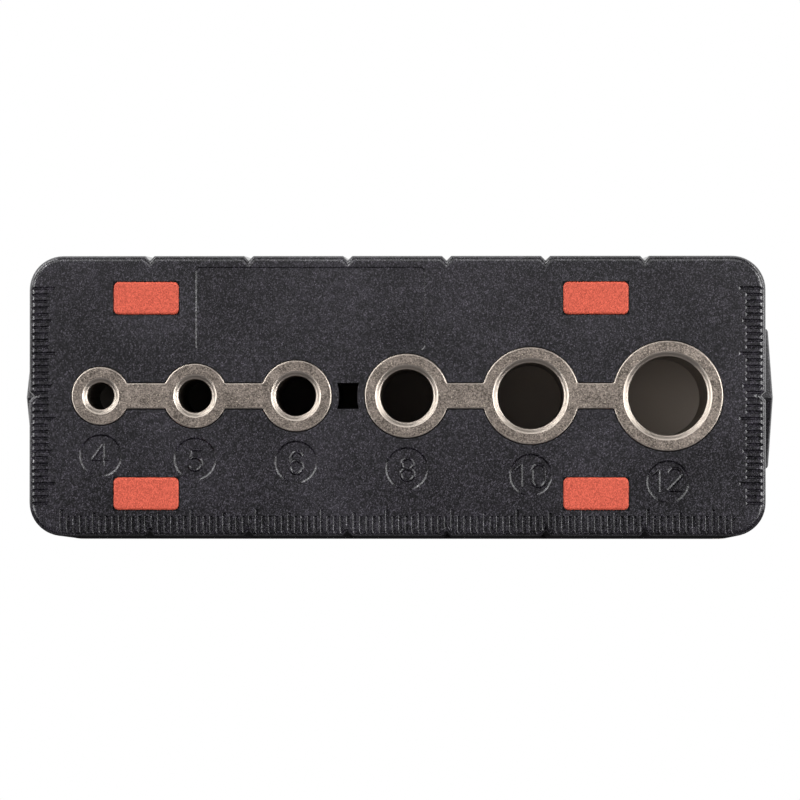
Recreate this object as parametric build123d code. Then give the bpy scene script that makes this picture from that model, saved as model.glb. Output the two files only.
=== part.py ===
from build123d import *
from math import cos, radians, sin, tan
import os

# Hand-held drill guide block: one moulded plastic body, two sintered steel guide strips pressed into it
# and four rubber grip pads set into its top face. Millimetres.
# X runs along the row of bores towards the largest one, Y from the number fields to the panel, Z up.
# The origin is under the middle of the block, on the plane of the two lands that it stands on.

# Block
TOP_LENGTH = 113.0
TOP_WIDTH = 43.0
HEIGHT = 32.0
CORNER_RADIUS = 5.2
DRAFT_ANGLE = 1.75
TOP_EDGE_RADIUS = 1.0
BASE_EDGE_CHAMFER = 0.4

# Lengthwise V-groove underneath, for round stock and for corners
V_ANGLE = 90.0
V_DEPTH = 8.4
V_ROOT_RADIUS = 0.5
V_MOUTH_RADIUS = 0.6

# Gable that carries the groove's wall past each end of the block
GABLE_WALL = 2.0
GABLE_REACH = 2.6
GABLE_EDGE_RADIUS = 0.5

# Index notches down the walls, one pitch apart on the long walls and one in the middle of each end
NOTCH_DEPTH = 0.7
NOTCH_PITCH = 15.2
NOTCHES_PER_WALL = 6

# Guide rings, by the drill that each one takes
DRILLS = (4.0, 5.0, 6.0, 8.0, 10.0, 12.0)
SMALL_STRIP_RINGS = 3
DRILL_CLEARANCE = 0.1
RING_WALL = 2.5
RING_GAP = 5.0
WEB_WIDTH = 4.0
WEB_ROOT_RADIUS = 0.3
MOUTH_CHAMFER = 0.65
RING_EDGE_CHAMFER = 0.15
STRIP_PROUD = 0.1

# Pocket that holds each strip on a ledge of the body
SEAT_CLEARANCE = 0.1
LEDGE_THICKNESS = 1.2
LEDGE_RELIEF = 0.5

# Window through the body between the two strips
WINDOW_WIDTH = 4.0
WINDOW_WALL = 1.1

# Rubber grip pads and their recesses, each pad's middle set in from the edges of the top
PAD_LENGTH = 10.0
PAD_WIDTH = 5.0
PAD_THICKNESS = 1.8
PAD_PROUD = 0.3
PAD_CORNER_RADIUS = 0.6
PAD_CLEARANCE = 0.1
PAD_SIDE_INSET = 6.5
PAD_LEFT_INSET = 18.0
PAD_RIGHT_INSET = 26.0

# Bare panel sunk into the top face near its back edge. Its walls slope, and its size is given at the face.
PANEL_LENGTH = 35.2
PANEL_WIDTH = 12.8
PANEL_DEPTH = 0.2
PANEL_CORNER_RADIUS = 0.8
PANEL_X = -13.3
PANEL_BACK_INSET = 1.7

# Round sunken field in front of each ring, for the number of its drill, also sized at the face
FIELD_RADIUS = 3.25
FIELD_DEPTH = 0.3
FIELD_GAP = 1.4

# Cutters start this far outside what they cut
OVERRUN = 1.0

flare = HEIGHT * tan(radians(DRAFT_ANGLE))
v_half_angle = radians(V_ANGLE / 2)
v_half_width = V_DEPTH * tan(v_half_angle)
gable_height = V_DEPTH + GABLE_WALL / sin(v_half_angle)
gable_half_width = gable_height * tan(v_half_angle)
gable_end = TOP_LENGTH / 2 + GABLE_REACH
ledge_top = V_DEPTH + LEDGE_THICKNESS
strip_top = HEIGHT + STRIP_PROUD


def ring_radius(drill):
    return drill / 2 + RING_WALL


def bore_radius(drill):
    return (drill + DRILL_CLEARANCE) / 2


def ring_row():
    """Each ring's drill and centre, with equal gaps between the rings and the row centred on the block."""
    row_length = sum(2 * ring_radius(drill) for drill in DRILLS) + RING_GAP * (len(DRILLS) - 1)
    edge = -row_length / 2
    row = []
    for drill in DRILLS:
        row.append((drill, edge + ring_radius(drill)))
        edge += 2 * ring_radius(drill) + RING_GAP
    return row


rings = ring_row()
small_rings = rings[:SMALL_STRIP_RINGS]
large_rings = rings[SMALL_STRIP_RINGS:]


def block():
    """The drafted block, widest at its base."""
    base = RectangleRounded(TOP_LENGTH + 2 * flare, TOP_WIDTH + 2 * flare, CORNER_RADIUS + flare)
    return extrude(base, amount=HEIGHT, taper=DRAFT_ANGLE)


def notch(wall_distance):
    """Cutter for a notch of even depth down a drafted wall that faces +Y, wall_distance from the middle."""
    side = NOTCH_DEPTH + OVERRUN
    apex = wall_distance - NOTCH_DEPTH
    profile = make_face(Polyline((0, apex), (side, apex + side), (-side, apex + side), close=True))
    start = Pos(0, -OVERRUN * tan(radians(DRAFT_ANGLE)), HEIGHT + OVERRUN) * profile
    slope = (0, sin(radians(DRAFT_ANGLE)), -cos(radians(DRAFT_ANGLE)))
    return extrude(start, amount=(HEIGHT + 2 * OVERRUN) / cos(radians(DRAFT_ANGLE)), dir=slope)


def notch_places():
    first = -NOTCH_PITCH * (NOTCHES_PER_WALL - 1) / 2
    return [first + NOTCH_PITCH * i for i in range(NOTCHES_PER_WALL)]


def notch_cutters():
    along = notch(TOP_WIDTH / 2)
    across = notch(TOP_LENGTH / 2)
    cutters = [Rot(0, 0, turn) * Pos(x, 0, 0) * along for turn in (0, 180) for x in notch_places()]
    return cutters + [Rot(0, 0, turn) * across for turn in (90, -90)]


def gable():
    """Roof-shaped wall of the groove, from end to end of the block, with its ends rounded over."""
    profile = make_face(
        Polyline((-gable_half_width, 0), (0, gable_height), (gable_half_width, 0), close=True)
    )
    ridge = extrude(Plane.YZ.offset(-gable_end) * profile, amount=2 * gable_end)
    ends = [e for e in ridge.edges() if abs(e.center().X) > gable_end - OVERRUN and e.center().Z > 0]
    return fillet(ends, GABLE_EDGE_RADIUS)


def v_groove():
    low = -OVERRUN
    half = v_half_width + OVERRUN * tan(v_half_angle)
    profile = make_face(Polyline((-half, low), (0, V_DEPTH), (half, low), close=True))
    profile = fillet(profile.vertices().sort_by(Axis.Y)[-1], V_ROOT_RADIUS)
    return extrude(Plane.YZ.offset(-gable_end - OVERRUN) * profile, amount=2 * (gable_end + OVERRUN))


def is_web_root(corner, ring_list, growth):
    """Whether a corner of the plan is where a web runs into a ring."""
    on_web = abs(abs(corner.Y) - WEB_WIDTH / 2 - growth) < 0.001
    return on_web and ring_list[0][1] < corner.X < ring_list[-1][1]


def strip_profile(ring_list, growth=0.0):
    """Plan of a strip: its rings and the webs between them, grown all round by a clearance."""
    first_x = ring_list[0][1]
    last_x = ring_list[-1][1]
    plan = Pos((first_x + last_x) / 2, 0) * Rectangle(last_x - first_x, WEB_WIDTH + 2 * growth)
    for drill, x in ring_list:
        plan += Pos(x, 0) * Circle(ring_radius(drill) + growth)
    web_roots = [v for v in plan.vertices() if is_web_root(v, ring_list, growth)]
    return fillet(web_roots, WEB_ROOT_RADIUS - growth)


def guide_strip(ring_list):
    strip = extrude(Pos(0, 0, ledge_top) * strip_profile(ring_list), amount=strip_top - ledge_top)
    strip = chamfer(strip.faces().sort_by(Axis.Z)[-1].outer_wire().edges(), RING_EDGE_CHAMFER)
    for drill, x in ring_list:
        drilled = Cylinder(bore_radius(drill), 2 * HEIGHT)
        mouth = Cone(
            bore_radius(drill),
            bore_radius(drill) + MOUTH_CHAMFER,
            MOUTH_CHAMFER,
            align=(Align.CENTER, Align.CENTER, Align.MAX),
        )
        strip -= [Pos(x, 0, HEIGHT) * drilled, Pos(x, 0, strip_top) * mouth]
    return strip


def strip_pockets():
    pockets = []
    for ring_list in (small_rings, large_rings):
        plan = strip_profile(ring_list, SEAT_CLEARANCE)
        pockets.append(extrude(Pos(0, 0, ledge_top) * plan, amount=HEIGHT - ledge_top + OVERRUN))
    return pockets


def drill_exits():
    """Holes that carry each bore on through the ledge into the groove, clear of the drill."""
    bottom = (Align.CENTER, Align.CENTER, Align.MIN)
    return [
        Pos(x, 0, -OVERRUN) * Cylinder(bore_radius(drill) + LEDGE_RELIEF, ledge_top + 2 * OVERRUN, align=bottom)
        for drill, x in rings
    ]


def window():
    """Slot into the groove between the strips, its ends following the ring on either side."""
    drill_left, x_left = small_rings[-1]
    drill_right, x_right = large_rings[0]
    plan = Pos((x_left + x_right) / 2, 0) * Rectangle(x_right - x_left, WINDOW_WIDTH)
    plan -= Pos(x_left, 0) * Circle(ring_radius(drill_left) + WINDOW_WALL)
    plan -= Pos(x_right, 0) * Circle(ring_radius(drill_right) + WINDOW_WALL)
    return extrude(plan, amount=HEIGHT + OVERRUN)


def pad_places():
    left = PAD_LEFT_INSET - TOP_LENGTH / 2
    right = TOP_LENGTH / 2 - PAD_RIGHT_INSET
    back = TOP_WIDTH / 2 - PAD_SIDE_INSET
    return {
        "back_left": (left, back),
        "back_right": (right, back),
        "front_left": (left, -back),
        "front_right": (right, -back),
    }


def pad_floor():
    return HEIGHT + PAD_PROUD - PAD_THICKNESS


def grip_pad(place):
    x, y = place
    plan = RectangleRounded(PAD_LENGTH, PAD_WIDTH, PAD_CORNER_RADIUS)
    return extrude(Pos(x, y, pad_floor()) * plan, amount=PAD_THICKNESS)


def pad_recesses():
    plan = Rectangle(PAD_LENGTH + 2 * PAD_CLEARANCE, PAD_WIDTH + 2 * PAD_CLEARANCE)
    recess = extrude(plan, amount=HEIGHT + OVERRUN - pad_floor())
    return [Pos(x, y, pad_floor()) * recess for x, y in pad_places().values()]


def sunk(plan, depth):
    """Cutter that sinks a plan into the top face, with walls at 45 degrees."""
    cutter = extrude(Pos(0, 0, HEIGHT - depth) * plan, amount=depth + OVERRUN)
    return chamfer(cutter.faces().sort_by(Axis.Z)[0].edges(), depth)


def panel_recess():
    y = TOP_WIDTH / 2 - PANEL_BACK_INSET - PANEL_WIDTH / 2
    plan = Pos(PANEL_X, y) * RectangleRounded(PANEL_LENGTH, PANEL_WIDTH, PANEL_CORNER_RADIUS)
    return sunk(plan, PANEL_DEPTH)


def number_fields():
    fields = []
    for drill, x in rings:
        y = -(ring_radius(drill) + FIELD_GAP + FIELD_RADIUS)
        fields.append(sunk(Pos(x, y) * Circle(FIELD_RADIUS), FIELD_DEPTH))
    return fields


def on_groove_mouth(edge):
    middle = edge.center()
    return abs(middle.Z) < 0.001 and abs(abs(middle.Y) - v_half_width) < 0.001


def body():
    shape = block() - notch_cutters()
    rim = shape.faces().sort_by(Axis.Z)[-1].outer_wire().edges()
    shape = fillet(rim, TOP_EDGE_RADIUS)
    foot = shape.faces().sort_by(Axis.Z)[0].outer_wire().edges()
    shape = chamfer(foot, BASE_EDGE_CHAMFER)
    shape = shape + gable() - v_groove()
    shape = fillet([e for e in shape.edges() if on_groove_mouth(e)], V_MOUTH_RADIUS)
    shape -= strip_pockets() + drill_exits() + pad_recesses() + number_fields()
    return shape - [window(), panel_recess()]


def write(name, shape):
    export_step(shape, os.path.join("parts", name + ".step"))


os.makedirs("parts", exist_ok=True)
write("body", body())
write("guide_strip_small", guide_strip(small_rings))
write("guide_strip_large", guide_strip(large_rings))
for corner, place in pad_places().items():
    write("grip_pad_" + corner, grip_pad(place))
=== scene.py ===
import bpy
import bmesh
from functools import cached_property
from math import asin, cos, degrees, pi, radians, sin, sqrt
from mathutils import Matrix, Vector


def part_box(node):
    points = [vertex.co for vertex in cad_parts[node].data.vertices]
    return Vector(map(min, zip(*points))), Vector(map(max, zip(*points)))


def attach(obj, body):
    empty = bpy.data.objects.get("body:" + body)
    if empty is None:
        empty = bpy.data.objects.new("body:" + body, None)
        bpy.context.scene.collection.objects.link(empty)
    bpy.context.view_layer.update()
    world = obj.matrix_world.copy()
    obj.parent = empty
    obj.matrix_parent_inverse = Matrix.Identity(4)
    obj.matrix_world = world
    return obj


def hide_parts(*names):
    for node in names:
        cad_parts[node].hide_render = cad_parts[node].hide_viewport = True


# Looks of the drill guide: spark-textured plastic block with its moulded rulers and numbers, sintered
# steel guide strips and rubber grip pads, photographed from above on a white table.

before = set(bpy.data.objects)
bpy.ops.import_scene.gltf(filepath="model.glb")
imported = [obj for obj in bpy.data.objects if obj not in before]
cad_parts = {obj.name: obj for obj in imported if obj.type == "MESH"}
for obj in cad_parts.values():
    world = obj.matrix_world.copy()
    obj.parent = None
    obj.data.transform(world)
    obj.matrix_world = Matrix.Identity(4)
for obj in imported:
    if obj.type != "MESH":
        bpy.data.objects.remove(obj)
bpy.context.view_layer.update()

MM = 0.001
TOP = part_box("body")[1].z

# Moulded rulers, counted in ticks' pitches. A tick runs in from beyond the edge, and its reach is counted
# from the rim of the flat face. Its width is for walls at 45 degrees, and flatter walls add a little to it.
LONG_RULER = 103
END_RULER = 33
TICK_PITCH = 1.0 * MM
TICK_WIDTH = 0.52 * MM
TICK_DEPTH = 0.22 * MM
TICK_REACH = 2.1 * MM
FIFTH_TICK_REACH = 2.6 * MM
TENTH_TICK_REACH = 3.1 * MM
TICK_OVERRUN = 1.6 * MM

# Sloping walls of the ticks, the panel and the fields: how far they spread out for each millimetre up, how
# far their cutters rise over the face, and how far the cutters of panel and fields stay off the floors
WALL_SPREAD = 1.16
WALL_RISE = 0.08 * MM
WALL_GAP = 0.01 * MM

# Bare panel, sunken in the top face. Its walls slope over the upper part of their depth only.
PANEL_SIZE = (35.2 * MM, 12.8 * MM)
PANEL_CENTRE = (-13.3 * MM, 13.4 * MM)
PANEL_CORNER_RADIUS = 0.8 * MM
PANEL_DEPTH = 0.2 * MM
PANEL_SLOPE = 0.12 * MM

# Row of rings, one for each drill, in two strips: the wall round a bore and the gap between two rings
DRILLS = (4, 5, 6, 8, 10, 12)
SMALL_STRIP_RINGS = 3
RING_WALL = 2.5 * MM
RING_GAP = 5.0 * MM

# Round sunken fields, one before each ring. The gap is from the ring's rim to the field's middle. A field's
# plan is a square with corners of nearly its whole radius, so that no two points of the plan fall together.
FIELD_CENTRE_GAP = 4.65 * MM
FIELD_RADIUS = 3.25 * MM
FIELD_DEPTH = 0.3 * MM
FIELD_SLOPE = 0.22 * MM
FIELD_ROUNDNESS = 0.9999

# Raised numbers on the floors of the fields: half a digit's height and a stroke's section, a ridge, both in
# millimetres, across and up, and the angle from which a turn in a stroke is a corner
DIGIT_HALF = 1.7
STROKE_PROFILE = ((-0.29, -0.02), (-0.035, 0.2), (0.035, 0.2), (0.29, -0.02))
CORNER_TURN = radians(30)

# Webs between the rings of a steel strip, with rounded roots, and the rounded top edge
WEB_WIDTH = 4.0 * MM
ROOT_RADIUS = 0.3 * MM
STEEL_EDGE_RADIUS = 0.25 * MM
STEEL_EDGE_STEPS = 5

# Mouth of each ring, in millimetres out from the drill's radius and up from the ring's face
MOUTH_PROFILE = (
    (0.05, -0.52),
    (0.09, -0.44),
    (0.14, -0.395),
    (0.21, -0.36),
    (0.3, -0.32),
    (0.38, -0.27),
    (0.46, -0.21),
    (0.53, -0.157),
    (0.6, -0.112),
    (0.69, -0.069),
    (0.76, -0.038),
    (0.82, -0.012),
    (0.87, 0.0),
)
MOUTH_OVERRUN = 1.0 * MM

# Rubber pads, with the steps that round their corners and edges
PAD_CORNER_RADIUS = 0.8 * MM
PAD_CORNER_STEPS = 8
PAD_EDGE_RADIUS = 0.4 * MM
PAD_EDGE_STEPS = 5

# Steps along an arc, round a mouth, along a ring's side and in a web's root
ARC_STEPS = 24
MOUTH_STEPS = 96
RING_STEPS = 60
ROOT_STEPS = 6

# Table, in layers a hair apart: its whole top, the part before the block, the shaded patch under the block
# and the contact shadow
TABLE_SIZE = 4000 * MM
TABLE_Z = -0.02 * MM
FRONT_TABLE_Z = -0.015 * MM
PATCH_Z = -0.01 * MM
CONTACT_Z = -0.008 * MM

# Shaded patch: its corners, how far it reaches out before the block's foot, and how far inside it ends
PATCH_CORNER_RADIUS = 6 * MM
PATCH_FRONT_REACH = 0.06 * MM
PATCH_BACK_INSET = 1.0 * MM
PATCH_END_INSET = 2.0 * MM

# Contact shadow along the front wall's foot: how far it reaches under the block, and its inset at each end
CONTACT_DEPTH = 1.6 * MM
CONTACT_END_INSET = 9 * MM

# Camera, above a point to the right of the middle, with a long lens
CAMERA_AT = Vector((10.9 * MM, -9.49 * MM, TOP + 650 * MM))
LOOK_AT = Vector((0.46 * MM, -0.63 * MM, TOP))
LENS = 190.8

# Angle under which two faces shade as one, on most pieces and on the soft edges of the steel
FACET_ANGLE = radians(30)
SOFT_EDGE_ANGLE = radians(50)

# Size of a normal's Z at which a face counts as level, and as upright
LEVEL = 0.999
UPRIGHT = 0.05

# Within these, two heights count as one, and two points
SAME_HEIGHT = 0.001 * MM
SAME_POINT = 0.00001 * MM

# Profile of a bevel that is an arc
ROUND = 0.5

# Where most values of a noise lie
NOISE_RANGE = (0.3, 0.7)

WHITE = (1, 1, 1, 1)


# Node trees

class Nodes:
    """The node tree of a material or world, with short calls for the nodes that they share."""

    def __init__(self, owner):
        owner.use_nodes = True
        self.owner = owner
        self.tree = owner.node_tree

    def add(self, kind, **settings):
        node = self.tree.nodes.new(kind)
        for key, value in settings.items():
            setattr(node, key, value)
        return node

    def put(self, socket, value):
        """Links a node's output to a socket, or sets the socket to a plain value."""
        if isinstance(value, bpy.types.NodeSocket):
            self.tree.links.new(value, socket)
        else:
            socket.default_value = value

    @cached_property
    def place(self):
        """Place on the object, in millimetres."""
        scale = self.add("ShaderNodeVectorMath", operation="SCALE")
        self.put(scale.inputs["Scale"], 1 / MM)
        self.put(scale.inputs[0], self.add("ShaderNodeTexCoord").outputs["Object"])
        return scale.outputs[0]

    def part(self, vector, axis):
        """One component of a vector."""
        node = self.add("ShaderNodeSeparateXYZ")
        self.put(node.inputs[0], vector)
        return node.outputs[axis]

    def noise(self, per_mm, detail, roughness=0.5):
        node = self.add("ShaderNodeTexNoise")
        self.put(node.inputs["Vector"], self.place)
        self.put(node.inputs["Scale"], per_mm)
        self.put(node.inputs["Detail"], detail)
        self.put(node.inputs["Roughness"], roughness)
        return node.outputs["Fac"]

    def cells(self, per_mm):
        """A pattern of cells: Distance grows from a cell's middle, and Color is random for each cell."""
        node = self.add("ShaderNodeTexVoronoi")
        self.put(node.inputs["Vector"], self.place)
        self.put(node.inputs["Scale"], per_mm)
        return node.outputs

    def remap(self, value, low, high, to_low=0.0, to_high=1.0):
        node = self.add("ShaderNodeMapRange")
        self.put(node.inputs["Value"], value)
        for key, number in zip(("From Min", "From Max", "To Min", "To Max"), (low, high, to_low, to_high)):
            self.put(node.inputs[key], number)
        return node.outputs["Result"]

    def swing(self, noise, reach):
        """A noise, turned into a swing to either side of zero."""
        return self.remap(noise, *NOISE_RANGE, -reach, reach)

    def maths(self, operation, a, b):
        node = self.add("ShaderNodeMath", operation=operation)
        self.put(node.inputs[0], a)
        self.put(node.inputs[1], b)
        return node.outputs[0]

    def mix(self, factor, a, b):
        node = self.add("ShaderNodeMix", data_type="RGBA")
        self.put(node.inputs["Factor"], factor)
        self.put(node.inputs["A"], a)
        self.put(node.inputs["B"], b)
        return node.outputs["Result"]

    def bump(self, height, distance, normal=None):
        node = self.add("ShaderNodeBump")
        self.put(node.inputs["Height"], height)
        self.put(node.inputs["Distance"], distance)
        self.put(node.inputs["Strength"], 1.0)
        if normal:
            self.put(node.inputs["Normal"], normal)
        return node.outputs["Normal"]

    def white_to_camera(self, kind, other):
        """What the camera sees as a white shader of a kind, and every other ray as another shader."""
        white = self.add(kind)
        self.put(white.inputs["Color"], WHITE)
        seen = self.add("ShaderNodeLightPath")
        choose = self.add("ShaderNodeMixShader")
        self.put(choose.inputs[0], seen.outputs["Is Camera Ray"])
        self.put(choose.inputs[1], other.outputs[0])
        self.put(choose.inputs[2], white.outputs[0])
        return choose.outputs[0]

    def finish(self, **values):
        """Sets the inputs of a material's own shader, and gives the material."""
        for key, value in values.items():
            self.put(self.tree.nodes["Principled BSDF"].inputs[key.replace("_", " ")], value)
        return self.owner


def material_nodes(name):
    return Nodes(bpy.data.materials.new(name))


# Materials of the object

PLASTIC_DARK = (0.0006, 0.0005, 0.0009, 1)
PLASTIC_SPARK = (0.1, 0.088, 0.118, 1)

# Gloss of the plastic away from its sparks and on them, and the strength from which a spark has it all
PLASTIC_GLOSS = (0.38, 1.0)
FULL_SPARK = 0.35

# What the gloss loses at the front and gains at the back, at so many millimetres from the middle
GLOSS_FADE = (-0.11, 0.06)
GLOSS_FADE_REACH = 20


def plastic():
    """Charcoal plastic: a fine speckle with few bright sparks, mottled softly, in large vague patches."""
    n = material_nodes("spark_textured_plastic")
    grain = n.noise(per_mm=5.3, detail=2, roughness=0.65)
    mottle = n.noise(per_mm=0.9, detail=3)
    patches = n.noise(per_mm=0.06, detail=2)
    specks = n.remap(n.cells(per_mm=7.2)["Color"], low=0.2, high=1.15)
    sparks = n.maths("POWER", specks, 3)
    tone = n.maths("ADD", sparks, n.swing(mottle, reach=0.06))
    tone = n.maths("ADD", tone, n.swing(patches, reach=0.05))
    colour = n.mix(tone, PLASTIC_DARK, PLASTIC_SPARK)
    fade = n.remap(n.part(n.place, "Y"), -GLOSS_FADE_REACH, GLOSS_FADE_REACH, *GLOSS_FADE)
    sheen = n.maths("ADD", n.swing(patches, reach=0.06), fade)
    gloss = n.maths("ADD", n.remap(sparks, 0.0, FULL_SPARK, *PLASTIC_GLOSS), sheen)
    normal = n.bump(grain, distance=0.012 * MM)
    normal = n.bump(mottle, distance=0.02 * MM, normal=normal)
    return n.finish(Base_Color=colour, Roughness=0.27, IOR=1.6, Specular_IOR_Level=gloss, Normal=normal)


STEEL_DARK = (0.09, 0.077, 0.064, 1)
STEEL_LIGHT = (0.54, 0.462, 0.39, 1)
STEEL_PORE = (0.09, 0.072, 0.058, 1)
# Painted glint: the colour of bright specks that stand in for glints
STEEL_PAINTED_GLINT = (0.95, 0.83, 0.64, 1)
# Painted highlight: the even colour of the steel's rounded edges
STEEL_PAINTED_HIGHLIGHT = (0.46, 0.405, 0.35, 1)

# Distances from the middle of a pore or painted glint, in its cell, over which it gives way to plain metal
PORE_RIM = (0.03, 0.15)
PAINTED_GLINT_RIM = (0.08, 0.18)

# A normal's Z over which a level face turns into an edge with painted highlight, and the edge into a wall
LEVEL_TO_HIGHLIT_EDGE = (0.995, 0.96)
WALL_TO_HIGHLIT_EDGE = (0.1, 0.4)


def steel():
    """Sintered steel: grainy and patchy, with dark pores, painted glints and an even painted highlight on
    its edges.
    """
    n = material_nodes("sintered_steel")
    grain = n.noise(per_mm=4.5, detail=3, roughness=0.7)
    patches = n.noise(per_mm=0.4, detail=3)
    unpored = n.remap(n.cells(per_mm=3.0)["Distance"], *PORE_RIM)
    painted_glints = n.remap(n.cells(per_mm=2.6)["Distance"], *reversed(PAINTED_GLINT_RIM))
    tone = n.remap(grain, low=0.35, high=0.7, to_high=0.9)
    tone = n.maths("ADD", tone, n.swing(patches, reach=0.15))
    up = n.part(n.add("ShaderNodeTexCoord").outputs["Normal"], "Z")
    # Painted highlight: faces between level and upright, the rounded edges, take an even light colour
    edges = n.maths("MULTIPLY", n.remap(up, *LEVEL_TO_HIGHLIT_EDGE), n.remap(up, *WALL_TO_HIGHLIT_EDGE))
    colour = n.mix(tone, STEEL_DARK, STEEL_LIGHT)
    colour = n.mix(unpored, STEEL_PORE, colour)
    # Painted glints: bright golden specks in the colour
    colour = n.mix(painted_glints, colour, STEEL_PAINTED_GLINT)
    # Painted highlight on the rounded edges
    colour = n.mix(edges, colour, STEEL_PAINTED_HIGHLIGHT)
    rough = n.remap(grain, *NOISE_RANGE, to_low=0.3, to_high=0.42)
    normal = n.bump(grain, distance=0.03 * MM)
    return n.finish(Base_Color=colour, Roughness=rough, Normal=normal, Metallic=1.0)


RUBBER_DARK = (0.33, 0.046, 0.024, 1)
RUBBER_LIGHT = (0.7, 0.12, 0.07, 1)


def rubber():
    """Matt red rubber with a fine speckle of darker and lighter reds."""
    n = material_nodes("grip_rubber")
    grain = n.noise(per_mm=4.5, detail=2, roughness=0.65)
    tone = n.remap(n.cells(per_mm=7.5)["Color"], low=0.0, high=1.0, to_low=-0.15, to_high=1.15)
    colour = n.mix(tone, RUBBER_DARK, RUBBER_LIGHT)
    normal = n.bump(grain, distance=0.008 * MM)
    return n.finish(Base_Color=colour, Roughness=0.65, Specular_IOR_Level=0.3, Normal=normal)


def dress(obj, material):
    """Gives the whole of an object one material."""
    obj.data.materials.clear()
    obj.data.materials.append(material)
    for face in obj.data.polygons:
        face.material_index = 0


# Plans and solids

def arc(centre, radii, start, end, steps=ARC_STEPS):
    """Points along an ellipse, angles in degrees."""
    angles = [radians(start + (end - start) * i / steps) for i in range(steps + 1)]
    return [(centre[0] + radii[0] * cos(a), centre[1] + radii[1] * sin(a)) for a in angles]


def rounded_plan(centre, extent, radius):
    """Points round a rectangle with round corners."""
    plan = []
    for side_x, side_y, start in ((1, 1, 0), (-1, 1, 90), (-1, -1, 180), (1, -1, 270)):
        x = centre[0] + side_x * (extent[0] / 2 - radius)
        y = centre[1] + side_y * (extent[1] / 2 - radius)
        plan += arc((x, y), (radius, radius), start, start + 90)
    return plan


def loft(bm, plans):
    """Adds a closed solid through plans of as many points each, from the lowest to the highest."""
    rows = [[bm.verts.new(point) for point in plan] for plan in plans]
    bm.faces.new(reversed(rows[0]))
    bm.faces.new(rows[-1])
    count = len(rows[0])
    for low, high in zip(rows, rows[1:]):
        for i in range(count):
            j = (i + 1) % count
            bm.faces.new((low[i], low[j], high[j], high[i]))


def link(name, data):
    obj = bpy.data.objects.new(name, data)
    bpy.context.scene.collection.objects.link(obj)
    return obj


def link_bmesh(name, bm):
    """A new object that holds what a bmesh holds."""
    mesh = bpy.data.meshes.new(name)
    bm.to_mesh(mesh)
    bm.free()
    return link(name, mesh)


def evaluated_mesh(obj):
    """An object's mesh with its modifiers, or a curve's with its bevel."""
    depsgraph = bpy.context.evaluated_depsgraph_get()
    return bpy.data.meshes.new_from_object(obj.evaluated_get(depsgraph))


def subtract(obj, cutters):
    """Takes the cutters out of an object's shape, and out of the scene."""
    cut = obj.modifiers.new("cut", "BOOLEAN")
    cut.operation = "DIFFERENCE"
    cut.solver = "MANIFOLD"
    cut.object = cutters
    mesh = evaluated_mesh(obj)
    obj.modifiers.clear()
    obj.data = mesh
    bpy.data.objects.remove(cutters)


def face_rank(face):
    """Level faces rule the shading at their corners, then upright ones, then all others."""
    slope = abs(face.normal.z)
    return 2 if slope > LEVEL else 1 if slope < UPRIGHT else 0


def smooth(obj, facet_angle=FACET_ANGLE):
    """Shades faces that meet at less than an angle as one. Flat faces stay flat up to their edges."""
    mesh = obj.data
    mesh.shade_smooth()
    around = [[] for _ in mesh.vertices]
    for face in mesh.polygons:
        for corner in face.vertices:
            around[corner].append((face_rank(face), face.normal.copy(), face.area))
    normals = []
    for face in mesh.polygons:
        for corner in face.vertices:
            near = [entry for entry in around[corner] if entry[1].dot(face.normal) > cos(facet_angle)]
            highest = max((rank for rank, _, _ in near), default=0)
            total = sum((normal * area for rank, normal, area in near if rank == highest), Vector())
            normals.append(total.normalized() if total.length > 0 else face.normal)
    mesh.normals_split_custom_set(normals)


def ring_centres():
    """Each drill's ring radius and the X of its centre, with equal gaps and the row centred."""
    radii = [drill * MM / 2 + RING_WALL for drill in DRILLS]
    edge = -(sum(2 * r for r in radii) + RING_GAP * (len(radii) - 1)) / 2
    centres = []
    for radius in radii:
        centres.append((radius, edge + radius))
        edge += 2 * radius + RING_GAP
    return centres


def field_centre(ring):
    """Middle of the field that belongs to a ring, given as its radius and X."""
    radius, x = ring
    return x, -(radius + FIELD_CENTRE_GAP)


# Block with rulers

def flat_rim(mesh):
    """How far the flat of the top face reaches from the middle, along X and along Y."""
    flat = [v.co for v in mesh.vertices if v.co.z > TOP - SAME_HEIGHT]
    return max(co.x for co in flat), max(co.y for co in flat)


def sloped_levels(depth):
    """Heights of a sloping wall's cutter over the top face, and how far it has grown at each."""
    return [(-depth, -depth), (WALL_RISE, (depth + WALL_RISE) * WALL_SPREAD - depth)]


def add_tick(bm, turn, along, rim, reach):
    """Adds a cutter for one tick. It reaches in from an edge that faces -Y before the turn about Z."""
    plans = []
    for z, grow in sloped_levels(TICK_DEPTH):
        half = TICK_WIDTH / 2 + grow
        outer, inner = -rim - TICK_OVERRUN, -rim + reach + grow
        corners = ((-half, outer), (half, outer), (half, inner), (-half, inner))
        plans.append([turn @ Vector((along + x, y, TOP + z)) for x, y in corners])
    loft(bm, plans)


def tick_reach(mark):
    """Every fifth tick is longer, and every tenth longer still."""
    if mark % 10 == 0:
        return TENTH_TICK_REACH
    return FIFTH_TICK_REACH if mark % 5 == 0 else TICK_REACH


def add_ticks(bm, rim_x, rim_y):
    """Adds the cutters for all ticks of the three rulers, along the front and the ends."""
    # Degrees from the front to the ruler's side, how far out its rim is, its length, and the way it counts
    for angle, rim, marks, way in (
        (0, rim_y, LONG_RULER, 1),
        (-90, rim_x, END_RULER, 1),
        (90, rim_x, END_RULER, -1),
    ):
        turn = Matrix.Rotation(radians(angle), 3, "Z")
        for mark in range(marks + 1):
            along = way * (mark - marks / 2) * TICK_PITCH
            add_tick(bm, turn, along, rim, tick_reach(mark))


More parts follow.
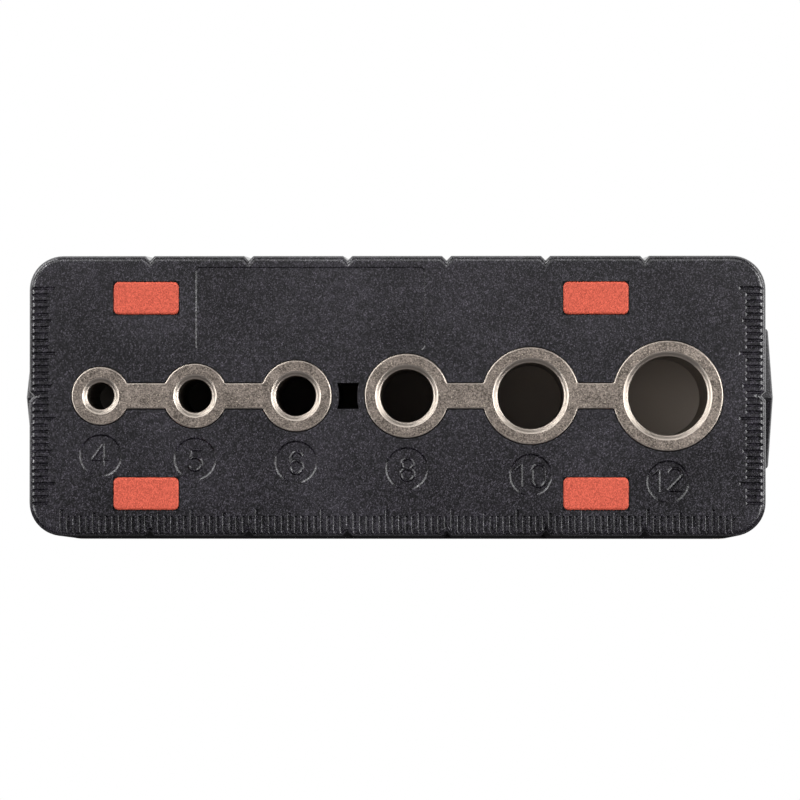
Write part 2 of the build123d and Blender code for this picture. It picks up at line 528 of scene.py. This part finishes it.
def add_walls(bm, centre, extent, radius, depth, sloped):
    """Adds a cutter for the walls of a sunken shape. They are upright at its floor and slope above."""
    plans = []
    for z, grow in [(WALL_GAP - depth, -sloped)] + sloped_levels(sloped):
        grown = [length + 2 * grow for length in extent]
        plans.append([(x, y, TOP + z) for x, y in rounded_plan(centre, grown, radius + grow)])
    loft(bm, plans)


def top_cutters(rim_x, rim_y):
    """Ticks of the rulers, and the walls of the panel and the fields, in one mesh."""
    bm = bmesh.new()
    add_ticks(bm, rim_x, rim_y)
    add_walls(bm, PANEL_CENTRE, PANEL_SIZE, PANEL_CORNER_RADIUS, PANEL_DEPTH, PANEL_SLOPE)
    field_size = (2 * FIELD_RADIUS, 2 * FIELD_RADIUS)
    corner_radius = FIELD_RADIUS * FIELD_ROUNDNESS
    for ring in ring_centres():
        add_walls(bm, field_centre(ring), field_size, corner_radius, FIELD_DEPTH, FIELD_SLOPE)
    return link_bmesh("top_cutters", bm)


def recut(node, name, cutters):
    """A CAD node's shape with cutters taken out of it, and smooth shading over its small facets."""
    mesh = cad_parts[node].data.copy()
    # The node's own normals would no longer fit
    mesh.attributes.remove(mesh.attributes["custom_normal"])
    bm = bmesh.new()
    bm.from_mesh(mesh)
    bmesh.ops.remove_doubles(bm, verts=bm.verts, dist=SAME_POINT)
    bm.to_mesh(mesh)
    bm.free()
    obj = link(name, mesh)
    subtract(obj, cutters)
    smooth(obj)
    return obj


# Steel strips

def strip_outline(rings, inset):
    """Plan of a strip, set in from its edge: rings joined by webs with rounded roots."""
    root_y = WEB_WIDTH / 2 + ROOT_RADIUS
    root_radii = (ROOT_RADIUS + inset, ROOT_RADIUS + inset)
    upper = []
    for i, (radius, x) in enumerate(rings):
        swing = degrees(asin(root_y / (radius + ROOT_RADIUS)))
        reach = sqrt((radius + ROOT_RADIUS) ** 2 - root_y ** 2)
        first = i == 0
        last = i == len(rings) - 1
        if not first:
            upper += arc((x - reach, root_y), root_radii, 270, 360 - swing, ROOT_STEPS)
        start = 180 if first else 180 - swing
        end = 0 if last else swing
        upper += arc((x, 0), (radius - inset, radius - inset), start, end, RING_STEPS)
        if not last:
            upper += arc((x + reach, root_y), root_radii, 180 + swing, 270, ROOT_STEPS)
    lower = [(x, -y) for x, y in upper[1:-1]]
    return upper[::-1] + lower


def circle(x, radius, z):
    """Points round a circle whose middle is in the row of rings."""
    return [(px, py, z) for px, py in arc((x, 0), (radius, radius), 0, 360, MOUTH_STEPS)[:-1]]


def mouth_cutters(rings, low, high):
    """Cutters for the bores of some rings, from below a strip to above it, wider at their mouths."""
    below = (MOUTH_PROFILE[0][0], (low - high - MOUTH_OVERRUN) / MM)
    above = (MOUTH_PROFILE[-1][0], MOUTH_OVERRUN / MM)
    profile = (below,) + MOUTH_PROFILE + (above,)
    bm = bmesh.new()
    for radius, x in rings:
        bore = radius - RING_WALL
        loft(bm, [circle(x, bore + out * MM, high + up * MM) for out, up in profile])
    return link_bmesh("mouth_cutters", bm)


def soft_strip(node, rings):
    """The strip of a CAD node with its top edge and the mouths of its rings rounded over."""
    low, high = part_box(node)
    levels = [(low.z, 0.0)]
    for i in range(STEEL_EDGE_STEPS + 1):
        turn = radians(90) * i / STEEL_EDGE_STEPS
        levels.append((high.z - STEEL_EDGE_RADIUS * (1 - sin(turn)), STEEL_EDGE_RADIUS * (1 - cos(turn))))
    bm = bmesh.new()
    loft(bm, [[(x, y, z) for x, y in strip_outline(rings, inset)] for z, inset in levels])
    strip = link_bmesh(node + "_steel", bm)
    subtract(strip, mouth_cutters(rings, low.z, high.z))
    smooth(strip, SOFT_EDGE_ANGLE)
    return strip


# Raised numbers

# Centre lines of each digit's strokes, in millimetres from its middle
DIGIT_STROKES = {
    "0": [
        arc((0, 0.75), (1.0, 0.95), 0, 180) + arc((0, -0.75), (1.0, 0.95), 180, 360) + [(1.0, 0.75)],
    ],
    "1": [
        [(-1.05, 0.85), (0, DIGIT_HALF), (0, -DIGIT_HALF)],
    ],
    "2": [
        arc((0, 0.78), (1.0, 0.92), 170, -35) + [(-1.1, -DIGIT_HALF), (1.1, -DIGIT_HALF)],
    ],
    "4": [
        [(0.39, -DIGIT_HALF), (0.39, DIGIT_HALF)],
        [(0.42, 1.6), (-1.33, -0.78), (1.2, -0.78)],
    ],
    "5": [
        [(1.0, 1.46), (-0.66, 1.46), (-0.82, 0.1)] + arc((0, -0.7), (1.02, 1.0), 135, -160),
    ],
    "6": [
        arc((0.12, -0.02), (1.05, 1.7), 38, 180) + arc((0.05, -0.7), (0.98, 1.0), 180, 540),
    ],
    "8": [
        arc((0, 0.86), (0.86, 0.82), -90, 270),
        arc((0, -0.77), (1.02, 0.93), -90, 270),
    ],
}

# Each digit of a number, with its middle's place from the middle of the field, in millimetres
DIGIT_PLACES = {
    4: (("4", 0, 0.15),),
    5: (("5", 0, -0.08),),
    6: (("6", 0, -0.1),),
    8: (("8", 0.1, -0.15),),
    10: (("1", -1.45, -0.07), ("0", 1.22, -0.1)),
    12: (("1", -1.4, 0.12), ("2", 1.12, 0.35)),
}


def runs(points):
    """Splits a line where it turns sharply, so that each run keeps its full width."""
    points = [Vector(point) for point in points]
    run = points[:1]
    for here, after in zip(points[1:], points[2:] + [None]):
        run.append(here)
        if after and (here - run[-2]).angle(after - here, 0) > CORNER_TURN:
            yield run
            run = [here]
    yield run


def add_line(curve, points, z):
    """Adds a straight-sided spline through points of a plan, in metres, and returns it."""
    spline = curve.splines.new("POLY")
    spline.points.add(len(points) - 1)
    for point, (x, y) in zip(spline.points, points):
        point.co = (x, y, z, 1)
    return spline


def stroke_profile():
    """A stroke's section as a closed curve: a low ridge with a narrow top."""
    curve = bpy.data.curves.new("stroke_profile", "CURVE")
    ridge = add_line(curve, [(across * MM, up * MM) for across, up in STROKE_PROFILE], 0)
    ridge.use_cyclic_u = True
    return link("stroke_profile", curve)


def raised_number(number, centre, profile):
    """A number in ridged strokes that stand on the floor of its field."""
    curve = bpy.data.curves.new("number_%d" % number, "CURVE")
    curve.dimensions = "3D"
    curve.twist_mode = "Z_UP"
    curve.bevel_mode = "OBJECT"
    curve.bevel_object = profile
    curve.use_fill_caps = True
    for digit, across, up in DIGIT_PLACES[number]:
        for points in DIGIT_STROKES[digit]:
            for run in runs(points):
                line = [(centre[0] + (x + across) * MM, centre[1] + (y + up) * MM) for x, y in run]
                add_line(curve, line, TOP - FIELD_DEPTH)
    shape = link("number_%d_strokes" % number, curve)
    mesh = evaluated_mesh(shape)
    bpy.data.objects.remove(shape)
    obj = link("number_%d" % number, mesh)
    smooth(obj)
    return obj


def raised_numbers():
    profile = stroke_profile()
    numbers = [
        raised_number(drill, field_centre(ring), profile)
        for drill, ring in zip(DRILLS, ring_centres())
    ]
    bpy.data.objects.remove(profile)
    return numbers


# Pads

def round_over(bm, edges, radius, steps):
    """Rounds the edges of a solid to an arc."""
    bmesh.ops.bevel(bm, geom=edges, offset=radius, segments=steps, affect="EDGES", profile=ROUND)


def soft_pad(node):
    """The pad of a CAD node with its corners and top edge rounded over."""
    low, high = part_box(node)
    bm = bmesh.new()
    bmesh.ops.create_cube(bm, size=1)
    for v in bm.verts:
        v.co = [(low[i] + high[i]) / 2 + v.co[i] * (high[i] - low[i]) for i in range(3)]
    upright = [e for e in bm.edges if abs(e.verts[0].co.z - e.verts[1].co.z) > SAME_HEIGHT]
    round_over(bm, upright, PAD_CORNER_RADIUS, PAD_CORNER_STEPS)
    rim = [e for e in bm.edges if all(v.co.z > high.z - SAME_HEIGHT for v in e.verts)]
    round_over(bm, rim, PAD_EDGE_RADIUS, PAD_EDGE_STEPS)
    obj = link_bmesh(node + "_rubber", bm)
    smooth(obj)
    return obj


# Table

# Radiance of the table for all rays but the camera's. Before the block it is dark from the foot out to the
# first Y, and as light as it gets from the second on.
TABLE_RADIANCE = 1.3
FRONT_RADIANCE = (0.012, 0.45)
FRONT_DARK_TO = -45 * MM
FRONT_LIGHT_FROM = -110 * MM

# Painted shade of the table under the block: dark left of the first X, in millimetres, light from the
# second on
SHADE_PAINT_DARK = (0.13, 0.112, 0.095, 1)
SHADE_PAINT_LIGHT = (0.56, 0.485, 0.41, 1)
SHADE_PAINT_FADE = (-12, 25)

CONTACT_COLOUR = (0.01, 0.009, 0.008, 1)


def plane(name, centre, width, depth):
    mesh = bpy.data.meshes.new(name)
    x, y = width / 2, depth / 2
    mesh.from_pydata([(-x, -y, 0), (x, -y, 0), (x, y, 0), (-x, y, 0)], [], [(0, 1, 2, 3)])
    obj = link(name, mesh)
    obj.location = centre
    return obj


def front_plane(foot_y):
    """The part of the table before the front wall's foot."""
    edge = -TABLE_SIZE / 2
    return plane("table_front", (0, (edge + foot_y) / 2, FRONT_TABLE_Z), TABLE_SIZE, foot_y - edge)


def shaded_patch(low, high):
    """The patch of table in the block's shade. It ends where the back notches let the lit table show."""
    mesh = bpy.data.meshes.new("shaded_patch")
    front, back = low.y - PATCH_FRONT_REACH, high.y - PATCH_BACK_INSET
    extent = (high.x - low.x - 2 * PATCH_END_INSET, back - front)
    plan = rounded_plan((0, (front + back) / 2), extent, PATCH_CORNER_RADIUS)
    mesh.from_pydata([(x, y, PATCH_Z) for x, y in plan], [], [range(len(plan))])
    return link("shaded_patch", mesh)


def contact_shadow(low):
    """Dark strip of table along the front wall's foot, seen through the front notches."""
    depth = PATCH_FRONT_REACH + CONTACT_DEPTH
    centre = (0, low.y - PATCH_FRONT_REACH + depth / 2, CONTACT_Z)
    return plane("contact_shadow", centre, -2 * low.x - 2 * CONTACT_END_INSET, depth)


def lit_table(n, radiance):
    """Table top that is white to the camera, and glows at a given radiance to every other ray."""
    glow = n.add("ShaderNodeEmission")
    n.put(glow.inputs["Strength"], radiance)
    surface = n.white_to_camera("ShaderNodeEmission", glow)
    n.put(n.tree.nodes["Material Output"].inputs["Surface"], surface)
    return n.owner


def white_table():
    return lit_table(material_nodes("white_table"), TABLE_RADIANCE)


def front_table():
    """Table before the block, dark near its foot and lighter farther off."""
    n = material_nodes("front_table")
    y = n.part(n.add("ShaderNodeNewGeometry").outputs["Position"], "Y")
    return lit_table(n, n.remap(y, FRONT_DARK_TO, FRONT_LIGHT_FROM, *FRONT_RADIANCE))


def painted_shade_table():
    """Table in the block's shade, in colours of painted shade, darkest under the small bores."""
    n = material_nodes("painted_shade_table")
    colour = n.mix(n.remap(n.part(n.place, "X"), *SHADE_PAINT_FADE), SHADE_PAINT_DARK, SHADE_PAINT_LIGHT)
    return n.finish(Base_Color=colour, Roughness=0.9)


# Room, lights and camera

ROOM_COLOUR = (0.93, 0.89, 1, 1)

# Room light: from the lowest height of a ray's direction to the highest, and the radiance at each
ROOM_LIGHT = (0.3, 0.97, 0.0, 0.26)

# Name, azimuth and elevation in degrees, distance, width and height in metres, and radiance
LIGHTS = (
    ("right_high", 5, 50, 0.9, 0.5, 0.4, 8.5),
    ("left_high", 180, 46, 0.9, 0.48, 0.3, 7.5),
    ("back_left_high", 135, 46, 0.9, 0.2, 0.15, 11.0),
    ("back_high", 90, 50, 0.9, 0.65, 0.48, 1.8),
    ("back_left_low", 140, 8, 0.6, 0.65, 0.18, 6.2),
    ("right_low", 18, 8, 0.6, 0.75, 0.16, 6.0),
    ("back_low", 88, 8, 0.6, 0.25, 0.16, 0.8),
    ("left_low", 185, 8, 0.6, 0.3, 0.16, 0.7),
    ("front_high", -90, 35, 0.9, 0.8, 0.3, 0.3),
    ("overhead", 0, 90, 0.9, 0.5, 0.5, 0.25),
)


def room():
    """Dim room, brighter overhead, and white where the camera sees it."""
    n = Nodes(bpy.data.worlds.new("studio"))
    bpy.context.scene.world = n.owner
    height = n.part(n.add("ShaderNodeTexCoord").outputs["Generated"], "Z")
    lit = n.tree.nodes["Background"]
    n.put(lit.inputs["Color"], ROOM_COLOUR)
    n.put(lit.inputs["Strength"], n.remap(height, *ROOM_LIGHT))
    surface = n.white_to_camera("ShaderNodeBackground", lit)
    n.put(n.tree.nodes["World Output"].inputs["Surface"], surface)


def softbox(name, azimuth, elevation, distance, width, height, radiance):
    """Rectangular area light that faces the top face's middle. Azimuth runs from +X towards +Y."""
    light = bpy.data.lights.new(name, "AREA")
    light.shape = "RECTANGLE"
    light.size, light.size_y = width, height
    light.energy = radiance * pi * width * height
    obj = link(name, light)
    a, e = radians(azimuth), radians(elevation)
    way = Vector((cos(a) * cos(e), sin(a) * cos(e), sin(e)))
    obj.location = Vector((0, 0, TOP)) + way * distance
    obj.rotation_euler = way.to_track_quat("Z", "Y").to_euler()


def camera():
    """Camera that looks down at the top face, with +Y up in its picture."""
    data = bpy.data.cameras.new("camera")
    data.lens = LENS
    obj = link("camera", data)
    back = (CAMERA_AT - LOOK_AT).normalized()
    right = Vector((0, 1, 0)).cross(back).normalized()
    up = back.cross(right)
    turn = Matrix((right, up, back)).transposed().to_4x4()
    obj.matrix_world = Matrix.Translation(CAMERA_AT) @ turn
    bpy.context.scene.camera = obj


# Pieces of the object

black_plastic, sintered, red_rubber = plastic(), steel(), rubber()

block = recut("body", "ruled_block", top_cutters(*flat_rim(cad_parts["body"].data)))
for piece in [block] + raised_numbers():
    dress(piece, black_plastic)
    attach(piece, "root")
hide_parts("body")
dress(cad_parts["body"], black_plastic)

all_rings = ring_centres()
for node, rings in (
    ("guide_strip_small", all_rings[:SMALL_STRIP_RINGS]),
    ("guide_strip_large", all_rings[SMALL_STRIP_RINGS:]),
):
    strip = soft_strip(node, rings)
    dress(strip, sintered)
    dress(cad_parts[node], sintered)
    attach(strip, "root")
    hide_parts(node)

for corner in ("back_left", "back_right", "front_left", "front_right"):
    node = "grip_pad_" + corner
    pad = soft_pad(node)
    dress(pad, red_rubber)
    dress(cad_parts[node], red_rubber)
    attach(pad, "root")
    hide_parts(node)

# Stage

block_low, block_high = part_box("body")
table = plane("table", (0, 0, TABLE_Z), TABLE_SIZE, TABLE_SIZE)
dress(table, white_table())
front = front_plane(block_low.y)
dress(front, front_table())
# Shaded patch under the block, in colours of painted shade
under = shaded_patch(block_low, block_high)
dress(under, painted_shade_table())
contact = contact_shadow(block_low)
dress(contact, material_nodes("contact_shadow").finish(Base_Color=CONTACT_COLOUR, Roughness=1.0))
room()
for row in LIGHTS:
    softbox(*row)
camera()
bpy.context.scene.view_settings.view_transform = "Standard"
